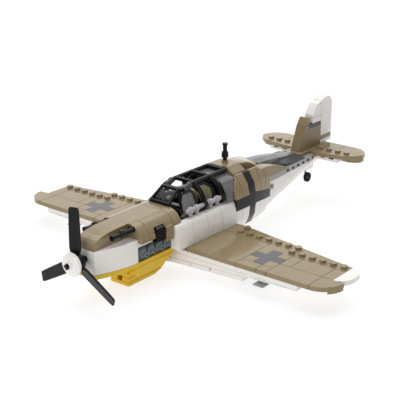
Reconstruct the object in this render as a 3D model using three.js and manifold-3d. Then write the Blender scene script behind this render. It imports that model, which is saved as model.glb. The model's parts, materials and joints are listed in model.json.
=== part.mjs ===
// Brick-built propeller plane with folded landing gear.
// All lengths below are in studs (the 8 mm pitch of the bricks).
// +X port, -Y nose, +Z up, Z = 0 on the wing skin.
import * as THREE from 'three';
import Module from 'manifold-3d';

const wasm = await Module();
wasm.setup();

// ---- driving dimensions ----
const STUD = 8; // mm
const PLATE = 0.4;
const BRICK = 3 * PLATE;
const GAP = 0.04; // clearance between pieces that move or are cut to a curve, 0.32 mm
const STUD_R = 0.3;
const STUD_H = 0.22;

const PROP = { z: 1.2, y: -14.5, r: 4.62, chord: 0.94, thick: 0.22, pitch: 17, hubR: 0.85, spinR: 1.02 };
const AXLE = { r: 0.24, front: -15.62, rear: -12.2 };
const NOSE = { front: -13.5, rear: -9.5, tip: 1.0, half: 2.0, top: 2.0 };
const COWL = { front: -9.5, rear: -4.5, top: 3.2, half: 1.0, cheek: 2.42, cheekZ: 1.7 };
const COOLER = { front: -9.67, rear: -4.7, flat: -6.4, half: 1.0, bottom: -2.35, top: -1.2 };
const CABIN = { front: -4.5, rear: 2.5, side: 3.0, topX: 2.5, topZ: 2.1 };
const SILL = { x: 2.12, z: 2.65, r: 0.2, front: -3.5, rear: 1.6 };
const CLIP = { at: [-1.25, 1.12], wide: 0.36, r: 0.36 };
const HEADREST = { y: 1.72, z: 2.38, ring: 1.06, disc: 0.8 };
const CANOPY = { front: -2.7, rear: 3.3, z: 4.42, x: 1.0, bar: 0.16 };
const SHELL = { front: 2.5, rear: 8.5, bandFront: 4.5, bandRear: 5.5, roofFront: 3.5 };
const BOOM = { front: 8.5, rear: 20.0, top: 5 * PLATE };
const TAIL = { z: 2.8, studY: 18.5 };
const TONGUE = { half: 1.0, front: 15.6, rear: 17.25 };
const FIN = { half: 0.5, foot: 16.05, front: 17.0, rear: 20.0, base: 2.8, top: 5.2 };
const RUDDER = { front: 20.0, rear: 22.0, base: 2.8, top: 7.6 };
const WING = { root: 3.0, out: 16.0, front: -4.5, mid: 10.0 };
const GEAR = {
  hingeX: 5.5, y: -3.05, z: -1.5, wheelX: 8.35, wheelY: -2.5, wheelZ: -1.1, wheelR: 1.0, r: 0.13, tip: 8.73,
};
const WHEEL = { y: 18.6, z: -0.55, r: 0.5, half: 0.2 };
const MID_Y = (AXLE.front + RUDDER.rear) / 2;

// ---- solids ----
function toManifold(geometry) { // welds the corners, and turns an inside-out solid round
  const g = geometry.index ? geometry.toNonIndexed() : geometry;
  const pos = g.attributes.position.array;
  const verts = [];
  const corners = [];
  const seen = new Map();
  for (let i = 0; i < pos.length; i += 3) {
    const p = [pos[i], pos[i + 1], pos[i + 2]];
    const key = p.map((v) => Math.round(v * 2e5)).join(',');
    if (!seen.has(key)) {
      seen.set(key, verts.length / 3);
      verts.push(...p);
    }
    corners.push(seen.get(key));
  }
  const tris = [];
  let volume = 0;
  for (let i = 0; i < corners.length; i += 3) {
    const t = corners.slice(i, i + 3);
    if (new Set(t).size < 3) continue;
    const [a, b, c] = t.map((k) => new THREE.Vector3(verts[3 * k], verts[3 * k + 1], verts[3 * k + 2]));
    volume += a.dot(b.cross(c));
    tris.push(t);
  }
  const triVerts = tris.flatMap(([a, b, c]) => (volume < 0 ? [a, c, b] : [a, b, c]));
  return new wasm.Manifold(new wasm.Mesh({
    numProp: 3, vertProperties: new Float32Array(verts), triVerts: new Uint32Array(triVerts),
  }));
}

function join(adds, cuts = []) {
  let body = toManifold(adds[0]);
  for (const g of adds.slice(1)) body = body.add(toManifold(g));
  for (const g of cuts) body = body.subtract(toManifold(g));
  return toGeometry(body);
}

function toGeometry(body) {
  const m = body.getMesh();
  const out = new THREE.BufferGeometry();
  out.setAttribute('position', new THREE.Float32BufferAttribute(m.vertProperties, 3));
  out.setIndex(Array.from(m.triVerts));
  return out;
}

const mirror = (g) => join([g.clone().scale(-1, 1, 1)]);

const box = (x0, x1, y0, y1, z0, z1) => new THREE.BoxGeometry(x1 - x0, y1 - y0, z1 - z0)
  .translate((x0 + x1) / 2, (y0 + y1) / 2, (z0 + z1) / 2);

function outline(points) {
  const shape = new THREE.Shape();
  points.forEach(([a, b], i) => (i ? shape.lineTo(a, b) : shape.moveTo(a, b)));
  shape.closePath();
  return shape;
}

function slab(points, z0, z1) { // plan outline (x, y)
  return new THREE.ExtrudeGeometry(outline(points), { depth: z1 - z0, bevelEnabled: false }).translate(0, 0, z0);
}

function section(points, y0, y1) { // cross-section (x, z) run along Y
  return new THREE.ExtrudeGeometry(outline(points), { depth: y1 - y0, bevelEnabled: false })
    .rotateX(Math.PI / 2).translate(0, y1, 0);
}

function profile(points, x0, x1) { // side view (y, z) run along X
  const g = new THREE.ExtrudeGeometry(outline(points), { depth: x1 - x0, bevelEnabled: false });
  return g.applyMatrix4(new THREE.Matrix4().set(0, 0, 1, x0, 1, 0, 0, 0, 0, 1, 0, 0, 0, 0, 0, 1));
}

function loft(front, rear, y0, y1) { // same count of (x, z) points at both ends
  const n = front.length;
  if (THREE.ShapeUtils.area(front.map(([x, z]) => new THREE.Vector2(x, z))) < 0) {
    return loft([...front].reverse(), [...rear].reverse(), y0, y1);
  }
  const verts = [];
  const index = [];
  front.forEach(([x, z]) => verts.push(x, y0, z));
  rear.forEach(([x, z]) => verts.push(x, y1, z));
  for (let i = 0; i < n; i++) {
    const j = (i + 1) % n;
    index.push(i, j, n + j, i, n + j, n + i);
  }
  const caps = [[front, 0, true], [rear, n, false]];
  for (const [ring, base, flip] of caps) {
    const tri = THREE.ShapeUtils.triangulateShape(ring.map(([x, z]) => new THREE.Vector2(x, z)), []);
    for (const [a, b, c] of tri) index.push(base + a, base + (flip ? c : b), base + (flip ? b : c));
  }
  const g = new THREE.BufferGeometry();
  g.setAttribute('position', new THREE.Float32BufferAttribute(verts, 3));
  g.setIndex(index);
  return g;
}

function rod(from, to, r, sides = 12) {
  const a = new THREE.Vector3(...from);
  const b = new THREE.Vector3(...to);
  const g = new THREE.CylinderGeometry(r, r, a.distanceTo(b), sides);
  const along = b.clone().sub(a).normalize();
  const turn = new THREE.Quaternion().setFromUnitVectors(new THREE.Vector3(0, 1, 0), along);
  return g.applyQuaternion(turn).translate(...a.add(b).multiplyScalar(0.5).toArray());
}

const stud = (x, y, z) => rod([x, y, z - 0.06], [x, y, z + STUD_H], STUD_R, 14);
const mirrored = (points) => points.map(([x, y]) => [-x, y]).reverse();
const ring = (half) => [...half, ...mirrored(half)];

function arc(cx, cy, rx, ry, from, to, steps) {
  return Array.from({ length: steps + 1 }, (_, i) => {
    const a = THREE.MathUtils.degToRad(from + ((to - from) * i) / steps);
    return [cx + rx * Math.cos(a), cy + ry * Math.sin(a)];
  });
}

// ---- finishes ----
const FINISH = {
  tan: ['#8f7d5e', 0.34, 0], white: ['#e9e5e0', 0.3, 0], yellow: ['#dcb512', 0.32, 0],
  black: ['#1c1d1f', 0.35, 0], dark: ['#50555a', 0.35, 0], light: ['#9a9fa3', 0.35, 0],
  olive: ['#8f8760', 0.4, 0], smoke: ['#5f6264', 0.12, 0], tyre: ['#17181a', 0.7, 0],
};
const plane = new THREE.Group();
plane.name = 'propeller_plane';
plane.position.set(0, -MID_Y * STUD, -COOLER.bottom * STUD);

function part(name, finish, geometry) {
  const [color, roughness, metalness] = FINISH[finish];
  const clear = finish === 'smoke';
  const material = new THREE.MeshStandardMaterial({
    color, roughness, metalness, transparent: clear, opacity: clear ? 0.5 : 1,
  });
  const mesh = new THREE.Mesh(geometry.scale(STUD, STUD, STUD), material);
  mesh.name = name;
  plane.add(mesh);
}

function pair(name, finish, build) {
  part(`${name}_port`, finish, build());
  part(`${name}_starboard`, finish, mirror(build()));
}

// ---- nose ----
function nosePlan(inset = 0) {
  const { front, rear, tip, half } = NOSE;
  const run = rear - front;
  const side = Array.from({ length: 9 }, (_, i) => {
    const t = i / 8;
    return [tip + (half - tip) * Math.sin((t * Math.PI) / 2) - inset, front + run * t];
  });
  return [...side, ...mirrored(side)];
}

function noseBlock() {
  const shaft = rod([0, NOSE.front - 0.2, PROP.z], [0, AXLE.rear, PROP.z], AXLE.r + 0.008, 24);
  const pocket = rod([0, AXLE.rear - GAP, PROP.z], [0, NOSE.rear + 0.1, PROP.z], 0.54, 24);
  return join([slab(nosePlan(), 0, NOSE.top), ...engineDeck()], [shaft, pocket]);
}

function noseSlope(x0, x1) { // quick rise behind the propeller, then level with the cowl
  const { front, rear, top } = NOSE;
  const rise = COWL.top - top - 0.25;
  const curve = Array.from({ length: 11 }, (_, i) => {
    const t = i / 10;
    return [front + (rear - front) * t * t, top + 0.25 + rise * (1 - Math.pow(1 - t, 2.4))];
  });
  return profile([[rear, top], [front, top], ...curve], x0, x1);
}

function guns() {
  const adds = [box(-1.5, 1.5, -9.44, -9.3, 2.72, 2.9)];
  for (const x of [-1.5, 1.5]) {
    adds.push(rod([x, -12, 2.8], [x, -9.3, 2.8], 0.2), rod([x, -11, 2.8], [x, -10.6, 2.8], 0.27));
    adds.push(rod([x, -12.02, 2.8], [x, -11.75, 2.8], 0.25));
  }
  return join(adds, [-1.5, 1.5].map((x) => rod([x, -12.1, 2.8], [x, -11.6, 2.8], 0.1)));
}

// ---- cowl ----
function cheek(port) {
  const { front, rear, top, half, cheek: out, cheekZ } = COWL;
  const round = [[half, cheekZ], ...arc(half, cheekZ, out - half, top - cheekZ, 0, 90, 10)];
  const gun = rod([1.5, front - 0.1, 2.8], [1.5, -9.24, 2.8], 0.2 + GAP);
  const bar = box(0, 1.5, -9.5, -9.24, 2.66, 2.96);
  const cuts = [gun, bar];
  cuts.push(box(1.98, 3, -5.54, rear + 0.1, 1, CABIN.topZ + GAP)); // room for the side panel
  if (port) cuts.push(box(1.96, 3, -7.8, -6.56, 1, 2.56)); // room for the intake
  const beside = [box(1.5, 2.5, -6.56, -5.62, 1.72, 2.3), box(2.16, 2.5, -6.56, -5.62, 1.05, 1.8)];
  return join([section(round, front, rear), ...(port ? beside : [])], cuts);
}

function cowlTop() {
  const { front, rear, top, half } = COWL;
  return join([box(-half, half, front, rear, NOSE.top, top)], [box(-1.1, 1.1, -9.6, -9.24, 2.66, 2.96)]);
}

function exhausts() {
  const adds = [box(-1.98, 1.98, -9.5, -5.4, 0.1, 1.3)];
  for (const side of [-1, 1]) {
    for (let i = 0; i < 4; i++) {
      const y = -9 + i;
      adds.push(rod([side * 1.9, y, 0.79], [side * 2.1, y, 0.79], 0.48, 18));
      adds.push(box(side > 0 ? 1.9 : -2.06, side > 0 ? 2.06 : -1.9, y - 0.46, y + 0.46, 0.12, 0.5));
    }
  }
  const hole = (s, i) => rod([s * 1.9, i - 8.52, 0.4], [s * 2.3, i - 8.52, 0.4], 0.1);
  return join(adds, [-1, 1].flatMap((s) => [0, 1, 2, 3].map((i) => hole(s, i))));
}

function intake() { // filter box on the port side
  const face = [[-7.76, 1.31], [-6.6, 1.31], [-6.6, 2.2], ...arc(-6.85, 2.2, 0.25, 0.32, 0, 90, 4),
    ...arc(-7.4, 2.16, 0.36, 0.36, 90, 180, 5)];
  return join([profile(face, 2.0, 2.5)], [box(2.12, 2.38, -7.9, -7.2, 1.5, 2.3)]);
}

// ---- chin and cooler ----
function chin() {
  const { front, half } = NOSE;
  const strip = slab(nosePlan(), -PLATE, 0);
  const under = [[-5.9, -0.95], [-7, -BRICK], [NOSE.rear, -BRICK], [NOSE.rear, 0], [-5.1, 0], [-5.1, -PLATE]];
  const keel = profile(under, -half, half);
  const step = [[front + 1.2, -PLATE], [NOSE.rear, -PLATE], [NOSE.rear, -0.9], [-11.4, -0.62]];
  const lip = profile(step, -1.4, 1.4);
  return join([strip, keel, lip]);
}

function cooler() {
  const { front, rear, flat, half, bottom, top } = COOLER;
  const side = [[front, top], [front, bottom], [flat, bottom], [-5.6, -2.1], [-5.0, -1.7], [rear, top]];
  const pin = rod([0, front - 0.1, -1.75], [0, front + 0.8, -1.75], 0.3, 18);
  return join([profile(side, -half, half)], [pin]);
}

// ---- propeller ----
function blade(turn) {
  const { r, chord, thick, pitch, y, z } = PROP;
  const w = chord / 2;
  const c = 0.16;
  const shape = [[-0.34, 0.6], [0.34, 0.6], [w + 0.07, 1.3], [w, r - c],
    ...arc(w - c, r - c, c, c, 0, 90, 4), ...arc(c - w, r - c, c, c, 90, 180, 4), [-w, r - c], [-w - 0.07, 1.3]];
  const g = section(shape, -thick / 2, thick / 2).rotateZ(THREE.MathUtils.degToRad(pitch));
  return g.rotateY(THREE.MathUtils.degToRad(turn)).translate(0, y, z);
}

function propeller() {
  const { y, z, hubR } = PROP;
  const hub = rod([0, y - 0.36, z], [0, y + 0.42, z], hubR, 24);
  return join([hub, blade(0), blade(120), blade(240)], [rod([0, y - 1, z], [0, y + 1, z], AXLE.r, 24)]);
}

function spinner() { // shallow dish with a boss round the axle
  const { y, z, spinR } = PROP;
  const back = y - 0.38;
  const bore = AXLE.r + 0.005;
  const dome = [[bore, back], [spinR, back], ...arc(0, back - 0.06, spinR, 0.42, 0, -68, 9),
    [0.4, back - 0.56], [bore, back - 0.56]];
  const g = new THREE.LatheGeometry([...dome, dome[0]].map(([a, b]) => new THREE.Vector2(a, b)), 32);
  return join([g.translate(0, 0, z)]);
}

function axle() {
  const { r, front, rear } = AXLE;
  const flange = rod([0, rear - 0.02, PROP.z], [0, rear + 0.28, PROP.z], 0.5, 20);
  return join([rod([0, front, PROP.z], [0, rear + 0.1, PROP.z], r, 24), flange]);
}

// ---- cabin ----
function core() { // inner beam that every shell piece locks on to
  const firewall = box(-1.98, 1.98, -5.36, CABIN.front, 0, 1.3);
  const floor = box(-2, 2, CABIN.front, CABIN.rear, 0, 0.4);
  const keel = box(-1.2, 1.2, COWL.rear - 0.2, SHELL.front, -PLATE, 0);
  return join([firewall, floor, keel]);
}

function engineDeck() { // plates between the exhaust row and the cowl
  const { front, rear } = COWL;
  return [box(-1.98, 1.98, front, rear, 1.6, COWL.cheekZ), box(-1.98, 1.98, front, -5.4, 1.3, 1.6)];
}

function sidePanels() {
  const { front, rear, side, topX, topZ } = CABIN;
  const bulge = arc(topX - 0.1, 0, side - topX + 0.1, topZ, 0, 74, 8);
  const curve = [[2.02, 0], ...bulge, [2.02, topZ]];
  const seams = [-3.5, -1.5, 0.5].map((y) => box(2.6, 3.2, y - 0.02, y + 0.02, -0.1, topZ));
  return join([section(curve, front - 1, rear)], seams);
}

function tub() {
  const outer = box(-2, 2, CABIN.front, CABIN.rear, 0.4, 2.26);
  const nest = box(-1.5, 1.5, -3.7, 1.7, 0.8, 2.5);
  return join([outer], [nest, box(-1.25, 1.25, 1.6, 2.34, 1.28, 2.5)]);
}

function seat() { // bucket with a rounded back
  const cushion = box(-0.85, 0.85, -1.5, -0.3, 0.8, 1.5);
  const shape = [[-0.8, 1.4], [0.8, 1.4], [0.8, 2.8], ...arc(0, 2.8, 0.8, 0.72, 10, 170, 10), [-0.8, 2.8]];
  return join([cushion, section(shape, -0.62, -0.3)]);
}

function headrestPlate() { // bulkhead under the rear arch with a ring that carries the armour disc
  const half = [[2.1, 2.3], [2.3, 2.96], [1.84, 3.68], [0.98, 4.06]];
  const ringPlate = rod([0, HEADREST.y, HEADREST.z], [0, 1.96, HEADREST.z], HEADREST.ring, 28);
  return join([section(ring(half), 1.95, 2.2), ringPlate, box(-0.7, 0.7, 1.95, 2.3, 1.5, 2.4)]);
}

function headrestDisc() {
  const { y, z, disc } = HEADREST;
  return join([rod([0, y - 0.14, z], [0, y, z], disc, 28)]);
}

function panel() {
  const board = [[-3.68, 1.9], [-3.3, 1.9], [-3.3, 2.75], [-3.1, 3.0], [-3.68, 3.05]];
  return join([profile(board, -1.4, 1.4), rod([0, -3.32, 2.4], [0, -3.2, 2.4], 0.4, 20)]);
}

function stick() {
  const shaft = rod([0, -2.1, 0.9], [0, -2.2, 2.2], 0.14);
  return join([box(-0.3, 0.3, -2.4, -1.8, 0.8, 0.96), shaft, rod([0, -2.19, 2.1], [0, -2.22, 2.5], 0.22)]);
}

function sill() { // bar in clip blocks, with room for the canopy's own clips
  const { x, z, r, front, rear } = SILL;
  const foot = box(2.005, x + 0.18, front, rear, CABIN.topZ + GAP, z);
  const adds = [rod([x, front, z], [x, rear, z], r, 16), foot];
  for (const y of [-3.2, -2.4, -0.5, 0.45]) adds.push(rod([x, y, z], [x, y + 0.36, z], r + 0.1, 16));
  const room = CLIP.at.map((y) => rod([x, y - 0.06, z], [x, y + CLIP.wide + 0.06, z], 0.6, 16));
  const core = CLIP.at.map((y) => rod([x, y - 0.1, z], [x, y + CLIP.wide + 0.1, z], r, 16));
  return join([join(adds, room), ...core]);
}

// ---- canopy ----
function windscreen() {
  const foot = [[-1, COWL.rear + 0.02, 3.36], [1, COWL.rear + 0.02, 3.36]];
  const head = [[-0.85, -3.1, 4.26], [0.85, -3.1, 4.26]];
  const rear = [[-1.84, -3.8, 2.57], [1.84, -3.8, 2.57]];
  const bars = [rod(foot[0], foot[1], 0.14), rod(head[0], head[1], 0.14)];
  for (const i of [0, 1]) {
    bars.push(rod(foot[i], head[i], 0.14), rod(head[i], rear[i], 0.14), rod(foot[i], rear[i], 0.14));
    for (const p of [foot[i], head[i], rear[i]]) bars.push(ball(p, 0.15));
  }
  return join(bars);
}

const ball = ([x, y, z], r) => new THREE.SphereGeometry(r, 10, 8).translate(x, y, z);

function pane(points, t) { // thin closed sheet through four points
  const p = points.map((q) => new THREE.Vector3(...q));
  const n = p[1].clone().sub(p[0]).cross(p[2].clone().sub(p[0])).normalize().multiplyScalar(t / 2);
  const verts = [...p.map((q) => q.clone().sub(n)), ...p.map((q) => q.clone().add(n))];
  const g = new THREE.BufferGeometry();
  g.setAttribute('position', new THREE.Float32BufferAttribute(verts.flatMap((v) => v.toArray()), 3));
  const faces = [[0, 2, 1], [0, 3, 2], [4, 5, 6], [4, 6, 7]];
  for (let i = 0; i < 4; i++) {
    const j = (i + 1) % 4;
    faces.push([i, j, j + 4], [i, j + 4, i + 4]);
  }
  g.setIndex(faces.flat());
  return g;
}

function screenGlass() {
  const corners = [[-0.8, -4.22, 3.53], [0.8, -4.22, 3.53], [0.7, -3.36, 4.09], [-0.7, -3.36, 4.09]];
  return join([pane(corners, 0.08)]);
}

function canopy() { // sliding-bar frame that lifts over on its two port clips
  const { front, rear, z, x, bar } = CANOPY;
  const rail = [[front, z - 0.3], [-1.6, z - 0.03], [-1.2, z], [rear, z]];
  const bars = [];
  const across = (y, h) => bars.push(rod([-x, y, h], [x, y, h], bar));
  for (const s of [-1, 1]) {
    rail.slice(1).forEach((p, i) => bars.push(rod([s * x, ...rail[i]], [s * x, ...p], bar)));
    rail.forEach((p) => bars.push(ball([s * x, ...p], bar)));
  }
  [[front, z - 0.3], [-1.2, z], [1.0, z], [rear - 0.1, z]].forEach(([y, h]) => across(y, h));
  for (const [k, y] of [-1.2, 1.0].entries()) {
    const clipY = CLIP.at[k] + CLIP.wide / 2;
    for (const s of [-1, 1]) {
      const shoulder = [s * x, y, z];
      const elbow = [s * 1.78, (y + clipY) / 2, 3.72];
      const hip = [s * SILL.x, clipY, SILL.z + (s > 0 ? 0.3 : 0.42)];
      bars.push(rod(shoulder, elbow, bar), rod(elbow, hip, bar), ball(elbow, bar), ball(shoulder, bar));
    }
    const clip = CLIP.at[k];
    bars.push(rod([SILL.x, clip, SILL.z], [SILL.x, clip + CLIP.wide, SILL.z], CLIP.r, 20));
  }
  return join(bars, [rod([SILL.x, -4, SILL.z], [SILL.x, 4, SILL.z], SILL.r + 0.01, 16)]);
}

function rearGlass() { // fixed smoky arch over the headrest, its rear edge following the shell
  const outer = [[2.68, 2.14], [2.52, 3.0], [1.98, 3.84], [1.05, 4.22]];
  const inner = [[2.5, 2.14], [2.35, 2.96], [1.88, 3.72], [1.0, 4.1]];
  const arch = [...outer, ...mirrored(outer), ...inner.map(([x, z]) => [-x, z]), ...[...inner].reverse()];
  const side = [[1.52, 2], [2.46, 2], [2.46, 2.95], [3.36, 3.95], [3.36, 4.4], [1.52, 4.4]];
  return within(section(arch, 1.5, 3.4), profile(side, -3, 3));
}

// ---- rear shell ----
const HULL = {
  fore: [[1, 4.4], [2.02, 4.02], [2.66, 3.1], [2.9, 2.1], [2.95, 1.1], [2.85, 0.1], [2.47, -0.8], [1.2, -1.8]],
  aft: [[1, 4.3], [2.0, 3.9], [2.36, 2.8], [2.4, 1.8], [2.35, 0.8], [2.2, 0], [1.85, -0.7], [1.0, -1.3]],
};
const HAUNCH = [[6.5, 4.3], [6.6, 4.13], [6.95, 3.87], [7.25, 3.62], [7.65, 3.32], [7.95, 3.0],
  [8.2, 2.72], [8.4, 2.3], [8.5, 1.9]];

function hullRing(y) { // full section up to the band, then narrower and lower towards the tail
  const t = Math.pow(Math.max(0, (y - SHELL.bandFront) / (SHELL.rear - SHELL.bandFront)), 1.5);
  return ring(HULL.fore.map(([x, z], i) => [x + (HULL.aft[i][0] - x) * t, z + (HULL.aft[i][1] - z) * t]));
}

function run(stations) { // lofts through [y, ring] stations
  return stations.slice(1).map(([y, r], i) => loft(stations[i][1], r, stations[i][0], y));
}

function hull(y0, y1) {
  const steps = Math.max(1, Math.round(y1 - y0));
  const ys = Array.from({ length: steps + 1 }, (_, i) => y0 + ((y1 - y0) * i) / steps);
  return join(run(ys.map((y) => [y, hullRing(y)])));
}

function within(body, keep) {
  return toGeometry(toManifold(body).intersect(toManifold(keep)));
}

const BAR = { low: 1.1, high: 2.1, aftLow: 0.75, aftHigh: 1.5 };
const zone = (points) => profile(points, -4, 4);
function bay() { // room above the hull for the roof, the spine and the tail cheeks
  const { front, rear } = SHELL;
  const lip = [[front - 1, 2.9], [front, 2.9], [3.5, 4.0], [3.52, 6], [front - 1, 6]];
  const tail = [...HAUNCH, [rear + 1, 1.9], [rear + 1, 6], [HAUNCH[0][0], 6]];
  const mid = box(-1.8, 1.8, front - 1, rear + 1, 3.5, 6);
  return [zone(lip), zone(tail), mid, box(-2.2, 2.2, 7.2, rear + 1, 2.53, 6)];
}

function shellUpper(y0, y1) { // hull above the dark bar
  const { front, rear, bandRear } = SHELL;
  const low = [[front - 1, BAR.high + 0.02], [bandRear, BAR.high + 0.02], [rear, BAR.aftHigh + 0.02],
    [rear, 4.02], [front - 1, 4.02]];
  return join([within(hull(y0, y1), zone(low))], bay());
}

function shellLower(y0, y1) { // hull below the dark bar
  const { front, rear, bandRear } = SHELL;
  const high = [[front - 1, BAR.low - 0.02], [bandRear, BAR.low - 0.02], [rear, BAR.aftLow - 0.02],
    [rear, -3], [front - 1, -3]];
  return within(hull(y0, y1), zone(high));
}

function band() { // dark bar along each side and a stripe round the hull, one piece
  const { front, rear, bandFront, bandRear } = SHELL;
  const { low, high, aftLow, aftHigh } = BAR;
  const plus = [[front, low], [bandFront, low], [bandFront, -3], [bandRear, -3], [bandRear, low],
    [rear, aftLow], [rear, aftHigh], [bandRear, high], [bandRear, 4.02], [bandFront, 4.02],
    [bandFront, high], [front, high]];
  return join([within(hull(front, rear), zone(plus))], bay());
}

const RIDGE = [[5.3, 4.6, 4.5], [6.2, 4.5, 4.37], [6.75, 4.38, 4.26], [7.2, 4.25, 4.08], [7.7, 4.08, 3.78],
  [8.3, 3.9, 3.58]];
function roof() { // double slope behind the canopy, then a rounded ridge two studs wide
  const { roofFront } = SHELL;
  const slopes = ring([[1, 4.6], [1.76, 4.06], [1.76, 3.54]]);
  const ridge = RIDGE.map(([y, top, edge]) => [y, ring([[0.55, top], [1, edge], [1, 3.54]])]);
  return join([section(slopes, roofFront, RIDGE[0][0]), ...run(ridge), stud(0, 4.57, 4.6)]);
}

const mast = () => join([
  rod([0, 4.57, 4.83], [0, 4.57, 6.4], 0.2), rod([0, 4.57, 5.08], [0, 4.57, 5.6], 0.32, 16),
  rod([0, 4.57, 6.22], [0, 4.57, 6.42], 0.25),
]);

// ---- tail ----
const BOOM_LOW = [[8.5, -1.3, 2.2], [10.5, -0.5, 2.08], [13.6, 0.3, 1.85], [15.4, 0.77, 1.65],
  [17.7, 1.1, 1.3], [20, 1.4, 1.0]];
function boomRing([, low, wide]) {
  const { top } = BOOM;
  const mid = (top + low) / 2;
  const turn = [wide * 0.88, mid - (top - low) * 0.22];
  return ring([[wide - 0.08, top], [wide, mid + 0.3], turn, [wide * 0.5, low]]);
}

function boom() {
  const stations = BOOM_LOW.map((row) => [row[0], boomRing(row)]);
  return join(run(stations), [box(-0.36 - GAP, 0.3 + GAP, 18, 19.2, -1, 1.7)]);
}

function boomTop() { // strip along the boom with a row of open stud gaps
  const edge = (y) => 2.12 - ((y - BOOM.front) / 8.4) * 0.6;
  const rim = [[edge(BOOM.front), BOOM.front], [edge(TONGUE.rear), TONGUE.rear - GAP]];
  const cuts = [box(-TONGUE.half - GAP, TONGUE.half + GAP, TONGUE.front - GAP, 20, TAIL.z - PLATE - GAP, 3)];
  for (let i = 0; i < 6; i++) {
    const y = 11.95 + i;
    const notch = box(edge(y) - 0.25, 3, y, y + 0.45, 2.08, 2.34);
    cuts.push(notch, mirror(notch));
  }
  return join([slab(ring(rim), BOOM.top, 2.56)], cuts);
}

const SPINE = [[8.34, 1.0, 2.96, 3.88], [10, 1.0, 2.95, 3.8], [12, 0.88, 2.85, 3.54], [14, 0.7, 2.75, 3.16],
  [15.55, 0.52, 2.66, 2.9]];
function spine(grow = 0) {
  const half = (x, low, top) => [[x * 0.6, top], [x + grow, top - 0.22], [x + grow, low - grow]];
  return join(run(SPINE.map(([y, x, low, top]) => [y, ring(half(x, low, top))])));
}

const CHEEK = [[7.24, 3.66], [8.1, 3.7], [8.8, 3.62], [9.65, 3.46], [10.2, 3.3], [10.84, 3.08], [11.5, 2.78],
  [11.9, 2.58]];
function tailCheek() { // curved slope beside the front of the spine
  return join([profile([[CHEEK[0][0], 2.57], ...CHEEK, [11.9, 2.57]], 1.12, 2.14)]);
}

function saddle() { // plates either side of the spine, one saddle piece
  const front = ring([[1.08, 3.5], [1.7, 3.0], [1.98, 2.57]]);
  const rear = ring([[0.5, 2.76], [0.95, 2.72], [1.5, 2.57]]);
  const cheeks = [box(1.08, 3, 7, 11.9 + GAP, 2.5, 4), box(-3, -1.08, 7, 11.9 + GAP, 2.5, 4)];
  return join([loft(front, rear, SHELL.rear, TONGUE.front - GAP)], [...cheeks, spine(0.02)]);
}

const TAIL_EDGE = [[1, 17.25], [3, 17.4], [4.2, 17.6], [5, 17.95], [5.6, 18.45], [5.95, 19.1], [5.88, 19.75],
  [5.45, 20.4], [4.85, 20.82], [4.1, 21]];
const LOW_EDGE = [[4.06, 18.5], [4.8, 18.45], [5.4, 18.7], [5.78, 19.2], [5.75, 19.8], [5.35, 20.35],
  [4.7, 20.65], [4.06, 20.75]];
function tailplane() { // studs stand along the front row; a second plate rounds each tip
  const { z, studY } = TAIL;
  const studs = [1.5, 2.5, 3.5, 4.5].flatMap((x) => [stud(x, studY, z), stud(-x, studY, z)]);
  const tongue = box(-TONGUE.half, TONGUE.half, TONGUE.front, TONGUE.rear + 0.5, z - PLATE, z);
  const low = slab(LOW_EDGE, z - 2 * PLATE, z - PLATE);
  return join([slab(ring(TAIL_EDGE), z - PLATE, z), tongue, low, mirror(low), ...studs]);
}

function tailplaneUnder() { // white plate with stud gaps along its front edge
  const z = TAIL.z - PLATE;
  const gap = (x) => box(x - 0.27, x + 0.27, 17.5, 17.95, z - 0.16, z + 0.1);
  const gaps = [1.3, 2.3, 3.3].flatMap((x) => [gap(x), gap(-x)]);
  return join([box(-4, 4, 17.62, 20.6, z - PLATE, z)], gaps);
}

// ---- fin and rudder ----
function finBase() { // tapered base with a small sloped cap in front of the plate
  const { half, foot, front, rear, base, top } = FIN;
  const shelf = top - PLATE;
  const face = [[foot, base], [rear, base], [rear, shelf], [front + 0.85, shelf], [front + 0.85, top + 0.62],
    [front + 0.7, top + 0.8], [front + 0.55, top + 0.78], [front, top]];
  return join([profile(face, -half, half)]);
}

function finTile() {
  const { half, front, rear, top } = FIN;
  return join([box(-half, half, front + 0.89, rear - GAP, top - PLATE, top)]);
}

function rudder() {
  const { front, rear, base, top } = RUDDER;
  const face = [[front, base], [rear, base], [rear, 6.3], ...arc(rear - 0.9, 6.5, 0.9, top - 6.5, 5, 95, 8),
    [20.3, 7.45], [19.2, 6.95], [18.46, 6.1], [18.46, 5.24], [front, 5.24]];
  return join([profile(face, -FIN.half, FIN.half)]);
}

function tailStrut() { // one arm on the starboard side, pin with a head beyond the wheel
  const { y, z, half } = WHEEL;
  const out = half + 0.04;
  const arm = box(-out - 0.12, -out, y - 0.16, y + 0.16, z - 0.16, 0.5);
  const head = rod([out - 0.01, y, z], [out + 0.07, y, z], 0.19, 16);
  const pin = rod([-out - 0.22, y, z], [out, y, z], 0.12, 16);
  return join([box(-0.36, 0.3, y - 0.56, y + 0.56, 0.4, 1.3), arm, head, pin]);
}

function tailWheel() {
  const { y, z, r, half } = WHEEL;
  return join([tyreSolid(r, half, 0.125).rotateZ(Math.PI / 2).translate(0, y, z)]);
}

function tyreSolid(r, half, bore) { // lathe about Y, closed ring profile
  const side = [[r, half * 0.55], [r * 0.86, half], [r * 0.62, half], [r * 0.55, half * 0.7], [bore, half * 0.7]];
  const other = side.map(([a, b]) => [a, -b]).reverse();
  return new THREE.LatheGeometry([...other, ...side, other[0]].map(([a, b]) => new THREE.Vector2(a, b)), 24);
}

// ---- wings ----
function skinPlan() {
  const { root, out, front, mid } = WING;
  return [[root, front], [15, front], [15, -2.5], [out, -2.5], [out, 0.5], [mid, 1.5], [4, 2.5], [root, 2.5]];
}

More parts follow.
